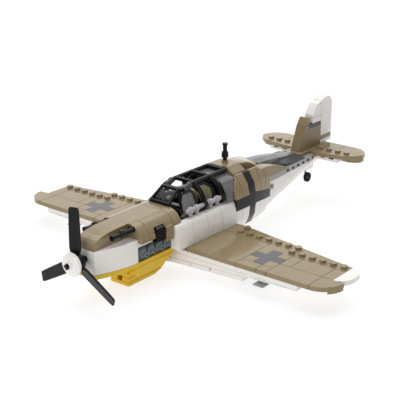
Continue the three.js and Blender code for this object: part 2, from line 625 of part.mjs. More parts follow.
const CROSS = [[9, 10, -3.5, -0.5], [8, 11, -2.5, -1.5]];
function wingSkin() {
  const studs = [stud(4.5, 2, 0)];
  for (let x = 4.5; x < 11; x++) studs.push(stud(x, 1, 0));
  for (let x = 10.5; x < 16; x++) studs.push(stud(x, 0, 0));
  const inlay = CROSS.map(([a, b, c, d]) => box(a, b, c, d, -0.2, 0.1));
  return join([slab(skinPlan(), -PLATE, 0), ...wingTip(), ...studs], inlay);
}

const cross = () => join(CROSS.map(([a, b, c, d]) => box(a, b, c, d, -0.2, 0)));

function wingTip() { // tan quarter-round corner, two plates thick
  const fan = (r) => [[15, -2.5], ...arc(15, -2.5, r, r, -90, 0, 10)];
  const low = [[15.4, -2.5], ...arc(15, -2.5, 1.96, 1.96, -46, 0, 6)];
  return [slab(fan(2), -PLATE, 0), slab(low, -0.62, -PLATE)];
}

function whiteTip() {
  const plan = [[16, -2.5], ...arc(16, -1.2, 1.15, 1.3, -90, 0, 6).slice(1), [17.1, -0.3], [16.7, 0.4], [16, 0.5]];
  return join([slab(plan, -PLATE, 0)]);
}

const underLine = (x) => 0.0464 * (x - 1.1) - 1.41; // underside of the wing at its leading edge

function underLayer() { // one spar plate from tip to tip, under the body
  const half = [[2, -4.5], [13.98, -4.5], [13.98, -2.46], [15.3, -2.46], [15.3, -0.3], [10, 0.6], [2, 1.6]];
  const adds = [slab(ring(half), -2 * PLATE, -PLATE)];
  const wedge = section([[1.1, underLine(1.1)], [13.9, underLine(13.9)], [13.9, -0.7], [1.1, -0.7]], -4.48, -3.6);
  const side = [wedge, underStrip(1.1, 5.3, -0.05, 0.42, -4.46), ...gearMount(), ...gunClip()];
  const cuts = [underStrip(1, 5.4, -0.02, 0.02, -4.6, -4.34), box(3.28, 3.32, -4.6, -4.34, -2, underLine(3.3))];
  return join([...adds, ...side, ...side.map(mirror), belly()], [...cuts, ...cuts.map(mirror)]);
}

function underStrip(x0, x1, above, below, y0, y1 = -3.6) { // runs along the underside line
  const face = [[x0, underLine(x0) - below], [x1, underLine(x1) - below],
    [x1, underLine(x1) - above], [x0, underLine(x0) - above]];
  return section(face, y0, y1);
}

function gearMount() { // lug and hinge pin
  const { hingeX, z } = GEAR;
  const lug = box(hingeX - 0.25, hingeX + 0.25, -2.4, -2.1, z - 0.2, -0.7);
  return [lug, rod([hingeX, -3.5, z], [hingeX, -2.2, z], 0.15, 16)];
}

function gunClip() { // open clip under the leading edge
  const legs = [10.05, 10.75].map((x) => box(x, x + 0.2, -4.1, -3.9, -1.3, -0.7));
  return [box(10, 11, -4.85, -3.9, -1.32, -1.2), ...legs];
}

function belly() { // white underside between the cooler and the shell
  const side = [[-5.0, -0.42], [-4.66, -1.0], [-4.66, -1.8], [-3, -1.8], [-2.4, -1.5], [2.5, -1.5],
    [2.5, -0.8], [-4.5, -0.8], [-4.5, -0.42]];
  return profile(side, -1.06, 1.06);
}

// ---- landing gear, folded outwards under the wing ----
function gearLeg() { // knuckle on the hinge pin, strut, door and wheel pin
  const { hingeX, z, y, wheelX, wheelY, wheelZ, r, tip } = GEAR;
  const knuckle = rod([hingeX, -3.54, z], [hingeX, -2.46, z], 0.22, 16);
  const strut = rod([hingeX, y, z], [wheelX, wheelY, z], r);
  const door = underStrip(hingeX - 0.02, tip, 0.03, 0.45, -4.46);
  const links = [box(hingeX, 5.9, -3.7, -3.3, z - r, z + r), box(6.5, 7.1, -3.7, -2.7, z - r, z + 0.08)];
  const pin = rod([wheelX, wheelY, z], [wheelX, wheelY, wheelZ + 0.24], 0.18, 16);
  const head = rod([wheelX, wheelY, wheelZ + 0.2], [wheelX, wheelY, wheelZ + 0.25], 0.27, 16);
  const foot = rod([wheelX, wheelY, z - r], [wheelX, wheelY, z + r], 0.24, 16);
  const bore = rod([hingeX, -3.56, z], [hingeX, -2, z], 0.16, 16);
  return join([knuckle, strut, door, ...links, pin, head, foot], [bore]);
}

function gearWheel() {
  const { wheelX, wheelY, wheelZ, wheelR } = GEAR;
  return join([tyreSolid(wheelR, 0.19, 0.19).rotateX(Math.PI / 2).translate(wheelX, wheelY, wheelZ)]);
}

// ---- assembly ----
part('core_frame', 'dark', core());
part('nose_block', 'white', noseBlock());
part('nose_slope_port', 'tan', join([noseSlope(0, COWL.half)]));
part('nose_slope_starboard', 'tan', join([noseSlope(-COWL.half, 0)]));
part('cowl_top', 'tan', cowlTop());
part('cowl_cheek_port', 'tan', cheek(true));
part('cowl_cheek_starboard', 'tan', mirror(cheek(false)));
part('nose_guns', 'black', guns());
part('exhaust_stacks', 'dark', exhausts());
part('intake_filter', 'black', intake());
part('chin', 'yellow', chin());
part('oil_cooler', 'yellow', cooler());
part('propeller', 'black', propeller());
part('spinner', 'white', spinner());
part('propeller_axle', 'black', axle());
pair('side_panels', 'white', sidePanels);
part('cockpit_tub', 'dark', tub());
part('seat', 'olive', seat());
part('headrest_plate', 'dark', headrestPlate());
part('headrest_disc', 'olive', headrestDisc());
part('instrument_panel', 'black', panel());
part('control_stick', 'black', stick());
pair('sill_bar', 'light', sill);
part('windscreen_frame', 'black', windscreen());
part('windscreen_glass', 'smoke', screenGlass());
part('canopy_frame', 'black', canopy());
part('rear_glass', 'smoke', rearGlass());
part('roof', 'tan', roof());
part('mast', 'black', mast());
part('shell_upper_front', 'tan', shellUpper(SHELL.front, SHELL.bandFront));
part('shell_lower_front', 'white', shellLower(SHELL.front, SHELL.bandFront));
part('shell_band', 'black', band());
part('shell_upper_rear', 'tan', shellUpper(SHELL.bandRear, SHELL.rear));
part('shell_lower_rear', 'white', shellLower(SHELL.bandRear, SHELL.rear));
part('boom', 'white', boom());
part('boom_top', 'light', boomTop());
part('spine_saddle', 'dark', saddle());
pair('tail_cheek', 'tan', tailCheek);
part('spine', 'light', spine());
part('tailplane', 'tan', tailplane());
part('tailplane_under', 'white', tailplaneUnder());
part('fin_base', 'tan', finBase());
part('fin_tile', 'dark', finTile());
part('rudder', 'white', rudder());
part('tail_strut', 'white', tailStrut());
part('tail_wheel', 'tyre', tailWheel());
part('spar_plate', 'white', underLayer());
pair('wing_skin', 'tan', wingSkin);
pair('wing_cross', 'dark', cross);
pair('white_tip', 'white', whiteTip);
pair('gear_leg', 'white', gearLeg);
pair('gear_wheel', 'tyre', gearWheel);

export default plane;
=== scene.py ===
"""Looks for the brick-built propeller plane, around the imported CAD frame. Metres, nose towards -Y."""
import json
import math

import bmesh
import bpy
from mathutils import Matrix, Vector

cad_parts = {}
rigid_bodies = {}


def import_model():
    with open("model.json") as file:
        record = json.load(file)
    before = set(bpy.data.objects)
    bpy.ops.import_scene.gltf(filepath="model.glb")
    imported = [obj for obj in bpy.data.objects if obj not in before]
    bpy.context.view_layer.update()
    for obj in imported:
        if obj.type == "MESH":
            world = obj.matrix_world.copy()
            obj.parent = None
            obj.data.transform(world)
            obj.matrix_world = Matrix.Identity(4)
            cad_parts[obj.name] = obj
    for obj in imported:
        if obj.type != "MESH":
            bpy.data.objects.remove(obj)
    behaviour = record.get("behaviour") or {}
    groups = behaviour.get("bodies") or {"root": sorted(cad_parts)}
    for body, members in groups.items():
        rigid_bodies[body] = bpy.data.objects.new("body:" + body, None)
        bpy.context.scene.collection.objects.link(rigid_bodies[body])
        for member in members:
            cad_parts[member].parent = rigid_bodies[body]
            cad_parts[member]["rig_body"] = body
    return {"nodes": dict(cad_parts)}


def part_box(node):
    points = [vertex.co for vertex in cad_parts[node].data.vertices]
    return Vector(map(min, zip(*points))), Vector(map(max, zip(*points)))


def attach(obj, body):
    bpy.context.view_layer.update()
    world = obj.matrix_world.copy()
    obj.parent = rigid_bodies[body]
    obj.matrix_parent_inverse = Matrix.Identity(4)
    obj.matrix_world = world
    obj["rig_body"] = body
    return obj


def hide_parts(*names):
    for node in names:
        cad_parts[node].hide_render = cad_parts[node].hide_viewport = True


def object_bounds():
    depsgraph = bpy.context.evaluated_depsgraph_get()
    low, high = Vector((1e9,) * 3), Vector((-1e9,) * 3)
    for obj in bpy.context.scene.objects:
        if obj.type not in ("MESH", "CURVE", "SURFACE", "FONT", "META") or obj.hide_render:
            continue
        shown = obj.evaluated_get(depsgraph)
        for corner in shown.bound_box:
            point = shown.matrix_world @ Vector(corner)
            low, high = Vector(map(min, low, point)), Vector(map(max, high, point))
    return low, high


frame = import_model()
CAD_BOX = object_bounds()

# ---- frame of reference: brick studs, as the CAD source counts them ----
STUD = 0.008            # metres from stud to stud
NOSE_FRONT = -13.5      # y of the nose block's front face, in studs
COOLER_UNDER = -2.35    # z of the cooler's underside, in studs
ORIGIN_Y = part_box("nose_block")[0].y - NOSE_FRONT * STUD
ORIGIN_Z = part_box("oil_cooler")[0].z - COOLER_UNDER * STUD
X_AXIS, Y_AXIS, Z_AXIS = (1, 0, 0), (0, 1, 0), (0, 0, 1)
SIDES = ((1, "port"), (-1, "starboard"))

# ---- how the solids are finished ----
SEAM = 0.014                # half the gap between neighbouring bricks, in studs
EDGE = 0.00017              # edge rounding of a moulded brick, in metres
THIN_EDGE = 0.00005         # the same for thin panes and for bricks with thin ledges, in metres
SHARP = math.radians(32)    # edges sharper than this are rounded
CREASE = math.radians(50)   # edges sharper than this stay sharp in the shading
WELD = 2e-6                 # corners nearer than this are one corner, in metres
ON_CUT = 1e-7               # corners nearer to a cut than this lie on it, in metres
FLAT = math.radians(0.6)    # facets flatter than this are one face
ROUND, BAR_SIDES = 48, 16   # facets round a turned piece and round a bar


def at(x, y, z):
    """A place in metres, from studs."""
    return Vector((x * STUD, y * STUD + ORIGIN_Y, z * STUD + ORIGIN_Z))


def in_studs(place):
    """The studs of a place in metres."""
    return place.x / STUD, (place.y - ORIGIN_Y) / STUD, (place.z - ORIGIN_Z) / STUD


def box_in_studs(node):
    return [in_studs(corner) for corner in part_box(node)]


def mix(a, b, t):
    return a + (b - a) * t


def steps(a, b, count):
    return [mix(a, b, i / count) for i in range(count + 1)]


def angles(count):
    return [2 * math.pi * k / count for k in range(count)]


def between(table, y):
    """Row of a station table at y, by straight lines between its rows."""
    for low, high in zip(table, table[1:]):
        if y <= high[0]:
            t = (y - low[0]) / (high[0] - low[0])
            return [mix(a, b, t) for a, b in zip(low, high)]
    return list(table[-1])


# ---- materials ----
MOTTLE, MARKS, SKIN = 140, 420, 2600    # noise scales of the tint, the gloss and the moulded skin
SKIN_DEPTH = 0.0002                     # height of the moulded skin's bumps, in metres


def shader(name, **settings):
    mat = bpy.data.materials.new(name)
    mat.use_nodes = True
    tree = mat.node_tree
    bsdf = tree.nodes["Principled BSDF"]
    for key, value in settings.items():
        bsdf.inputs[key.replace("_", " ")].default_value = value
    return mat, tree, bsdf


def noise(tree, scale, detail, rough=0.5, stretch=None):
    coords = tree.nodes.new("ShaderNodeTexCoord")
    tex = tree.nodes.new("ShaderNodeTexNoise")
    tex.inputs["Scale"].default_value = scale
    tex.inputs["Detail"].default_value = detail
    tex.inputs["Roughness"].default_value = rough
    source = coords.outputs["Object"]
    if stretch:
        mapping = tree.nodes.new("ShaderNodeMapping")
        mapping.inputs["Scale"].default_value = stretch
        tree.links.new(source, mapping.inputs["Vector"])
        source = mapping.outputs["Vector"]
    tree.links.new(source, tex.inputs["Vector"])
    return tex.outputs["Fac"]


def ramp(tree, source, low, high):
    node = tree.nodes.new("ShaderNodeValToRGB")
    for element, place, colour in zip(node.color_ramp.elements, (0.3, 0.7), (low, high)):
        element.position = place
        element.color = colour
    tree.links.new(source, node.inputs["Fac"])
    return node.outputs["Color"]


def uneven_gloss(tree, bsdf, source, low, high):
    gloss = tree.nodes.new("ShaderNodeMapRange")
    gloss.inputs["To Min"].default_value = low
    gloss.inputs["To Max"].default_value = high
    tree.links.new(source, gloss.inputs["Value"])
    tree.links.new(gloss.outputs["Result"], bsdf.inputs["Roughness"])


def linear(code):
    """Linear colour from a #rrggbb code."""
    parts = [int(code[i:i + 2], 16) / 255 for i in (1, 3, 5)]
    return [c / 12.92 if c <= 0.04045 else ((c + 0.055) / 1.055) ** 2.4 for c in parts]


def plastic(name, code, rough, spread, streak=None, gloss_level=0.36, grain=0.02):
    """Moulded brick plastic: faint mottling, handling marks in the gloss and a fine moulded skin."""
    base = linear(code)
    mat, tree, bsdf = shader(name, IOR=1.52, Specular_IOR_Level=gloss_level)
    low = [c * (1 - spread) for c in base] + [1]
    high = [min(1, c * (1 + spread)) for c in base] + [1]
    tint = ramp(tree, noise(tree, MOTTLE, 4, 0.6, streak), low, high)
    tree.links.new(tint, bsdf.inputs["Base Color"])
    uneven_gloss(tree, bsdf, noise(tree, MARKS, 5, 0.65), rough * 0.8, rough * 1.3)
    bump = tree.nodes.new("ShaderNodeBump")
    bump.inputs["Strength"].default_value = grain
    bump.inputs["Distance"].default_value = SKIN_DEPTH
    tree.links.new(noise(tree, SKIN, 2), bump.inputs["Height"])
    tree.links.new(bump.outputs["Normal"], bsdf.inputs["Normal"])
    return mat


def smoke(name, alpha, level, specular):
    """Smoke-grey clear plastic: alpha is how much it hides, level how light it is."""
    mat, tree, bsdf = shader(name, IOR=1.49, Alpha=alpha, Specular_IOR_Level=specular)
    low, high = ((level * k, level * k, level * k, 1) for k in (0.85, 1.15))
    tree.links.new(ramp(tree, noise(tree, 90, 3), low, high), bsdf.inputs["Base Color"])
    uneven_gloss(tree, bsdf, noise(tree, 60, 2), 0.08, 0.11)
    return mat


TAN = plastic("tan_plastic", "#8d7c5d", 0.09, 0.05)
# Rougher tan for the fin base, with a darker tint than the tan: the roughness is its finish, the darker tint
# is painted shade for the fin's shaded side.
SATIN_SHADED = plastic("tan_satin_shaded_plastic", "#857557", 0.34, 0.05)
WHITE = plastic("white_plastic", "#e9e5e0", 0.12, 0.02)
YELLOW = plastic("yellow_plastic", "#dcb512", 0.14, 0.05)
BLACK = plastic("black_plastic", "#101112", 0.2, 0.12, None, 0.18)
CHARCOAL = plastic("charcoal_plastic", "#202022", 0.2, 0.08, None, 0.15)
DARK = plastic("dark_grey_plastic", "#45484b", 0.2, 0.06, None, 0.28)
SLATE = plastic("slate_grey_plastic", "#474848", 0.14, 0.05)
LIGHT = plastic("light_grey_plastic", "#67696c", 0.2, 0.05, (1, 0.25, 1))
PALE = plastic("pale_grey_plastic", "#98979a", 0.2, 0.04)
STEEL = plastic("blue_grey_plastic", "#555c62", 0.2, 0.1)
PEWTER = plastic("pewter_plastic", "#7a8187", 0.2, 0.06)
DRAB = plastic("drab_plastic", "#756f58", 0.3, 0.05)
# Painted light: the headrest disc's sand is lighter than its plastic, so that it looks lit inside the shaded
# cockpit.
SAND_LIT = plastic("sand_plastic_painted_light", "#ddd5a6", 0.3, 0.05)
SILVER = plastic("silver_grey_plastic", "#b3b1b7", 0.2, 0.04)
RUBBER = plastic("tyre_rubber", "#17181a", 0.72, 0.15, None, 0.3, 0.25)
SMOKE = smoke("smoke_glass", 0.6, 0.012, 0.2)
HAZE = smoke("haze_glass", 0.74, 0.19, 0.5)


# ---- pieces ----
def linked(name, data):
    obj = bpy.data.objects.new(name, data)
    bpy.context.scene.collection.objects.link(obj)
    return obj


def round_edges(obj, width):
    """Bakes rounded edges into the object's mesh."""
    bevel = obj.modifiers.new("edge", "BEVEL")
    bevel.width = width
    bevel.segments = 2
    bevel.limit_method = "ANGLE"
    bevel.angle_limit = SHARP
    bevel.use_clamp_overlap = False
    depsgraph = bpy.context.evaluated_depsgraph_get()
    plain = obj.data
    rounded = bpy.data.meshes.new_from_object(obj.evaluated_get(depsgraph))
    obj.modifiers.clear()
    obj.data = rounded
    bpy.data.meshes.remove(plain)
    rounded.name = obj.name


def piece(name, bm, mat, node, edge=EDGE, stands=True):
    """Finishes a solid and hangs it on its CAD node's body. It stands for the node, or only adds to it."""
    bmesh.ops.recalc_face_normals(bm, faces=bm.faces)
    mesh = bpy.data.meshes.new(name)
    bm.to_mesh(mesh)
    bm.free()
    mesh.materials.append(mat)
    obj = linked(name, mesh)
    if edge:
        round_edges(obj, edge)
    obj.data.polygons.foreach_set("use_smooth", [True] * len(obj.data.polygons))
    obj.data.set_sharp_from_angle(angle=CREASE)
    flat = obj.modifiers.new("flat_faces", "WEIGHTED_NORMAL")
    flat.weight = 100
    flat.keep_sharp = True
    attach(obj, frame["nodes"][node]["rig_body"])
    if stands:
        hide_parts(node)


def loft(rings):
    """Closed solid through rings of places, in metres, each with the same count of corners."""
    bm = bmesh.new()
    loops = [[bm.verts.new(place) for place in ring] for ring in rings]
    for a, b in zip(loops, loops[1:]):
        for k in range(len(a)):
            j = (k + 1) % len(a)
            bm.faces.new((a[k], a[j], b[j], b[k]))
    bm.faces.new(list(reversed(loops[0])))
    bm.faces.new(loops[-1])
    return bm


def prism(ring, y0, y1):
    """Closed prism along Y from a ring of (x, z) points, in studs."""
    return loft([[at(x, y, z) for x, z in ring] for y in (y0, y1)])


def block(x, y, z):
    """Box from its two limits along each axis, in studs."""
    (x0, x1), (z0, z1) = sorted(x), z
    return prism([(x0, z0), (x1, z0), (x1, z1), (x0, z1)], *y)


def bar(points, r):
    """Closed round bar along a path of points, in studs."""
    path = [at(*p) for p in points]
    rings, up = [], None
    for i, here in enumerate(path):
        ahead = (path[min(i + 1, len(path) - 1)] - path[max(i - 1, 0)]).normalized()
        up = up or ahead.orthogonal()
        up = (up - ahead * up.dot(ahead)).normalized()
        side = ahead.cross(up)
        rings.append([here + (up * math.cos(a) + side * math.sin(a)) * r * STUD for a in angles(BAR_SIDES)])
    return loft(rings)


def turned(profile, centre, axis):
    """Closed solid: (radius, along) points, in studs, spun about an axis through centre."""
    bm = bmesh.new()
    rings = []
    for r, along in profile:
        spokes = angles(ROUND) if r else [0]
        rings.append([bm.verts.new(Vector((r * math.cos(a), r * math.sin(a), along)) * STUD) for a in spokes])
    pairs = list(zip(rings, rings[1:]))
    if profile[0][0]:
        pairs.append((rings[-1], rings[0]))
    for a, b in pairs:
        for k in range(ROUND):
            j = (k + 1) % ROUND
            corners = (a[k % len(a)], a[j % len(a)], b[j % len(b)], b[k % len(b)])
            distinct = list(dict.fromkeys(corners))
            if len(distinct) > 2:
                bm.faces.new(distinct)
    aim = Vector(Z_AXIS).rotation_difference(Vector(axis).normalized()).to_matrix().to_4x4()
    bmesh.ops.transform(bm, matrix=Matrix.Translation(at(*centre)) @ aim, verts=bm.verts)
    return bm


def turned_piece(name, profile, centre, axis, mat, node, stands=True):
    piece(name, turned(profile, centre, axis), mat, node, 0, stands)


# ---- CAD nodes cut into their bricks ----
def node_bmesh(node):
    bm = bmesh.new()
    bm.from_mesh(frame["nodes"][node].data)
    bmesh.ops.remove_doubles(bm, verts=bm.verts, dist=WELD)
    bmesh.ops.dissolve_limit(bm, angle_limit=FLAT, verts=bm.verts, edges=bm.edges)
    return bm


def cut_half(bm, point, normal):
    """Keeps what lies behind the plane and closes the cut."""
    geom = bm.verts[:] + bm.edges[:] + bm.faces[:]
    cut = bmesh.ops.bisect_plane(bm, geom=geom, dist=ON_CUT, plane_co=point, plane_no=normal,
                                 clear_outer=True)
    rim = [g for g in cut["geom_cut"] if isinstance(g, bmesh.types.BMEdge)]
    rim = [e for e in rim if e.is_valid and len(e.link_faces) == 1]
    if rim:
        bmesh.ops.triangle_fill(bm, edges=rim, use_beauty=True, use_dissolve=True)


def split(bm, tree):
    """Cuts a solid into bricks. tree is None or (axis, position in studs, below, above)."""
    if tree is None:
        return [bm]
    axis, where, below, above = tree
    mask = Vector([float(letter == axis) for letter in "xyz"])
    other = bm.copy()
    cut_half(bm, at(*mask * (where - SEAM)), mask)
    cut_half(other, at(*mask * (where + SEAM)), -mask)
    return [b for half, rest in ((bm, below), (other, above)) for b in split(half, rest) if len(b.faces)]


def rows(axis, places):
    """A plain row of cuts along one axis."""
    tree = None
    for place in reversed(places):
        tree = (axis, place, None, tree)
    return tree


def mirrored(tree):
    if tree is None:
        return None
    axis, where, below, above = tree
    if axis == "x":
        return ("x", -where, mirrored(above), mirrored(below))
    return (axis, where, mirrored(below), mirrored(above))


def rebuild(node, look, tree=None, edge=EDGE):
    """Replaces a CAD node by its bricks. look is one material, or a list with one for each brick."""
    for i, bm in enumerate(split(node_bmesh(node), tree)):
        name = f"{node}.brick_{i + 1}" if tree else f"{node}.looks"
        piece(name, bm, look[i] if isinstance(look, list) else look, node, edge)


WING = ("x", 8,
        ("y", 0.5, None, None),
        ("x", 11,
         ("y", 0.5, ("y", -3.5, ("x", 10, None, None), None), None),
         ("y", -2.5,
          ("x", 15, None, None),
          ("y", -0.5, ("x", 12, None, ("x", 15, None, None)), ("x", 14, None, None)))))
HALF_TAIL = ("z", 2.4, None, ("y", 19, None, ("x", 3, None, None)))
TAILPLANE = ("x", -1, mirrored(HALF_TAIL), ("x", 1, None, HALF_TAIL))
SHELL_FRONT = rows("y", [3.5])
SHELL_REAR = rows("y", [6.5, 7.5])
RUDDER = ("y", 20, rows("z", [5.8, 7.0]), rows("z", [3.2, 3.6]))
CLIP = ("z", -1.1, None, None)      # a clip hangs below this under each wing, from x 10 to 11; its white is painted pale grey as shade from the wing
SPAR = ("z", -0.8, ("x", -11, None, ("x", -10, CLIP, ("x", 10, None, ("x", 11, CLIP, None)))), None)
BRICKS = {
    "nose_block": (WHITE, rows("z", [0.0])),
    "cowl_top": (TAN, rows("y", [-5.5])),
    "chin": (YELLOW, rows("z", [-0.4, -0.8])),
    "oil_cooler": (YELLOW, rows("z", [-2.0, -1.6])),
    "shell_upper_front": (TAN, SHELL_FRONT),
    "shell_lower_front": (WHITE, SHELL_FRONT),
    "shell_upper_rear": (TAN, SHELL_REAR),
    "shell_lower_rear": (WHITE, SHELL_REAR),
    "roof": (TAN, rows("y", [5.3])),
    "boom": (WHITE, rows("y", [12.5, 16.5])),
    "tailplane": (TAN, TAILPLANE),
    # the fin base's darker tint is painted shade
    "fin_base": (SATIN_SHADED, rows("z", [5.2])),
}
WHOLE = {
    # the headrest disc takes the lightened sand, which is painted light for the shaded cockpit
    "core_frame": DARK, "intake_filter": BLACK, "cockpit_tub": BLACK, "seat": DRAB, "headrest_disc": SAND_LIT,
    "instrument_panel": BLACK, "control_stick": BLACK, "windscreen_frame": BLACK, "windscreen_glass": SMOKE,
    "rear_glass": HAZE, "mast": BLACK, "shell_band": CHARCOAL, "boom_top": PALE, "tailplane_under": WHITE,
    "fin_tile": DARK, "tail_strut": WHITE,
}
PAIRS = {
    "nose_slope": (TAN, None),
    "cowl_cheek": (TAN, rows("y", [-8.5, -5.5])),
    "side_panels": (WHITE, None),
    "wing_skin": (TAN, WING),
    "wing_cross": (SLATE, None),
    "white_tip": (WHITE, None),
    "gear_leg": (WHITE, None),
    "tail_cheek": (TAN, None),
}


def bricks():
    for node, (look, tree) in BRICKS.items():
        rebuild(node, look, tree)
    for node, look in WHOLE.items():
        rebuild(node, look)
    for node, (look, tree) in PAIRS.items():
        rebuild(f"{node}_port", look, tree)
        rebuild(f"{node}_starboard", look, mirrored(tree))
    rebuild("headrest_plate", [DARK, BLACK], rows("y", [1.95]))
    rebuild("rudder", [WHITE, WHITE, WHITE, WHITE, TAN, WHITE], RUDDER)


# ---- exhaust row: round plates on a strip, each with a pin behind it whose hole is a black disc of painted shade ----
FIRST_DISC, DISC_Z = -9, 0.79       # y of the first round plate, and z of all of them
PIN_BEHIND, PIN_Z = 0.48, 0.4       # how far each pin hole lies behind its plate, and z of the holes
DISC = [(0, 0), (0.2, 0), (0.24, 0.025), (0.31, 0.025), (0.35, 0), (0.42, 0), (0.455, -0.03),
        (0.46, -0.2), (0, -0.2)]
PIN_RIM = [(0.12, -0.08), (0.12, 0.04), (0.14, 0.06), (0.2, 0.06), (0.22, 0.04), (0.22, -0.08)]
# a black disc in each pin: painted shade inside its hole
PIN_HOLE_SHADE = [(0, -0.04), (0.125, -0.04), (0.125, 0), (0, 0)]


def exhausts():
    node = "exhaust_stacks"
    piece(f"{node}.strip", block((-1.93, 1.93), (-9.5, -5.4), (0.1, 1.3)), DARK, node)
    for s, side in SIDES:
        out = (s, 0, 0)
        for i in range(4):
            y = FIRST_DISC + i
            pin_y = y + PIN_BEHIND
            hole_shade = (s * 2.03, pin_y, PIN_Z)
            turned_piece(f"{node}.disc_{side}_{i + 1}", DISC, (s * 2.09, y, DISC_Z), out, STEEL, node)
            turned_piece(f"{node}.pin_{side}_{i + 1}", PIN_RIM, (s * 2.02, pin_y, PIN_Z), out, PEWTER, node)
            turned_piece(f"{node}.hole_{side}_{i + 1}", PIN_HOLE_SHADE, hole_shade, out, BLACK, node, False)


# ---- propeller, spinner and axle ----
HUB = (0, -14.5, 1.2)               # middle of the hub
PITCH = math.radians(17)            # turn of each blade out of the propeller's plane
HUB_RING = [(0.25, 0.42), (0.66, 0.42), (0.72, 0.36), (0.72, 0.2), (0.85, 0.16), (0.85, -0.3), (0.8, -0.36),
            (0.25, -0.36)]
BLADE = [  # radius, half width, half thickness
    (0.5, 0.34, 0.15), (0.72, 0.38, 0.14), (0.95, 0.47, 0.125), (1.25, 0.53, 0.115), (1.8, 0.525, 0.11),
    (2.8, 0.505, 0.105), (3.8, 0.48, 0.1), (4.3, 0.46, 0.095), (4.48, 0.44, 0.085), (4.57, 0.38, 0.065),
    (4.615, 0.27, 0.03)]
BLADE_SECTION = [(-1, 0.0), (-0.94, 0.75), (-0.8, 1.0), (-0.72, 0.72), (0.72, 0.72), (0.8, 1.0), (0.94, 0.75),
                 (1, 0.0), (0.94, -0.75), (0.8, -0.95), (0.0, -1.0), (-0.8, -0.95), (-0.94, -0.75)]
DISH_R, DISH_DEPTH, DISH_Y = 1.02, 0.42, -0.38      # the white dish's radius, depth and place before the hub
ARM, WEB = 0.235, 0.085             # half length and half thickness of the axle's cross
STOP = 0.28                         # length of the stop at the axle's rear end
STOP_DISC = [(0, STOP), (0.46, STOP), (0.5, 0.24), (0.5, 0.03), (0.46, 0), (0, 0)]


def blade(turn):
    return loft([[at(*(turn @ Vector((u * half, -v * thick, r)) + Vector(HUB))) for u, v in BLADE_SECTION]
                 for r, half, thick in BLADE])


def spinner():
    bend = [math.radians(a) for a in range(6, 69, 6)]
    dish = [(0.25, 0.0), (1.0, 0.0), (DISH_R, -0.03)]
    dish += [(DISH_R * math.cos(a), -0.06 - DISH_DEPTH * math.sin(a)) for a in bend]
    dish += [(0.4, -0.47), (0.385, -0.55), (0.36, -0.565), (0.25, -0.565)]
    turned_piece("spinner.dish", dish, (0, HUB[1] + DISH_Y, HUB[2]), Y_AXIS, WHITE, "spinner")


def axle():
    node = "propeller_axle"
    (_, front, _), (_, rear, _) = box_in_studs(node)
    cross = [(WEB, WEB), (WEB, ARM), (-WEB, ARM), (-WEB, WEB), (-ARM, WEB), (-ARM, -WEB), (-WEB, -WEB),
             (-WEB, -ARM), (WEB, -ARM), (WEB, -WEB), (ARM, -WEB), (ARM, WEB)]
    piece(f"{node}.cross", prism([(x, HUB[2] + z) for x, z in cross], front, rear - STOP), BLACK, node)
    turned_piece(f"{node}.stop", STOP_DISC, (0, rear - STOP, HUB[2]), Y_AXIS, BLACK, node)


def propeller():
    turned_piece("propeller.hub", HUB_RING, HUB, Y_AXIS, BLACK, "propeller")
    for i in range(3):
        turn = Matrix.Rotation(math.radians(120 * i), 3, "Y") @ Matrix.Rotation(PITCH, 3, "Z")
        piece(f"propeller.blade_{i + 1}", blade(turn), BLACK, "propeller")
    spinner()
    axle()


# ---- cockpit: canopy bars, panes, gunsight, dials and the bars on the sills ----
ROOF_Z, NOSE_BAR = 4.42, (-2.7, 4.12)           # height of the canopy's top bars, y and z of its front bar
CLIP_Y = (-1.07, 1.3)                           # where the arches meet the port sill bar
ARCH_Y = (-1.2, 1.0)                            # where they leave the top bars
SILL_X, SILL_Z = 2.12, 2.65                     # middle of the sill bars
CLIP_RING = [(0.215, -0.18), (0.33, -0.18), (0.36, -0.15), (0.36, 0.15), (0.33, 0.18), (0.215, 0.18)]
SLEEVE = [(0.2, 0), (0.27, 0.02), (0.27, 0.3), (0.24, 0.32), (0.24, 0.66), (0.27, 0.68), (0.27, 0.98),
          (0.2, 1.0)]
SIDE_PANE = [(1.9, -3.62, 2.66), (1.94, -1.98, 2.66), (1.5, -1.98, 3.66), (1.3, -2.0, 3.82),
             (1.28, -2.95, 3.8), (1.5, -3.4, 3.4)]
SIGHT_LENS = [(0, 0.1), (0.16, 0.1), (0.2, 0.06), (0.2, -0.12), (0, -0.12)]
SIGHT_POST = [(0, -0.15), (0.07, -0.15), (0.07, 0.16), (0, 0.16)]
DIALS = ((-0.85, 2.5, 0.2), (-0.4, 2.62, 0.16), (0.4, 2.62, 0.16), (0.85, 2.5, 0.2))    # x, z, radius
GRIP = [(0.2, 0), (0.26, 0.0), (0.3, 0.04), (0.3, 0.32), (0.26, 0.36), (0.2, 0.36)]
GRIP_Y = (-3.2, -2.4, -0.5, 0.45)               # y of the clips that hold each sill bar


def canopy_bars():
    """Paths of the two long bars and of the four bars across them."""
    nose_y, nose_z = NOSE_BAR
    long_bar = [(nose_y, nose_z), (-1.6, 4.39), (-1.2, ROOF_Z), (1.0, ROOF_Z), (3.3, ROOF_Z)]
    across = [(nose_y, nose_z), (-1.2, ROOF_Z), (1, ROOF_Z), (3.2, ROOF_Z)]
    return [[(s, y, z) for y, z in long_bar] for s in (1, -1)] + [[(-1, y, z), (1, y, z)] for y, z in across]


def arch(s, top, foot):
    hip = SILL_Z + (0.3 if s > 0 else 0.42)
    path = [(1, top, ROOF_Z), (1.12, top, 4.36), (1.5, (top * 2 + foot) / 3, 4.02),
            (1.78, (top + foot) / 2, 3.72), (1.98, (top + foot * 2) / 3, 3.34), (SILL_X, foot, hip)]
    return [(s * x, y, z) for x, y, z in path]


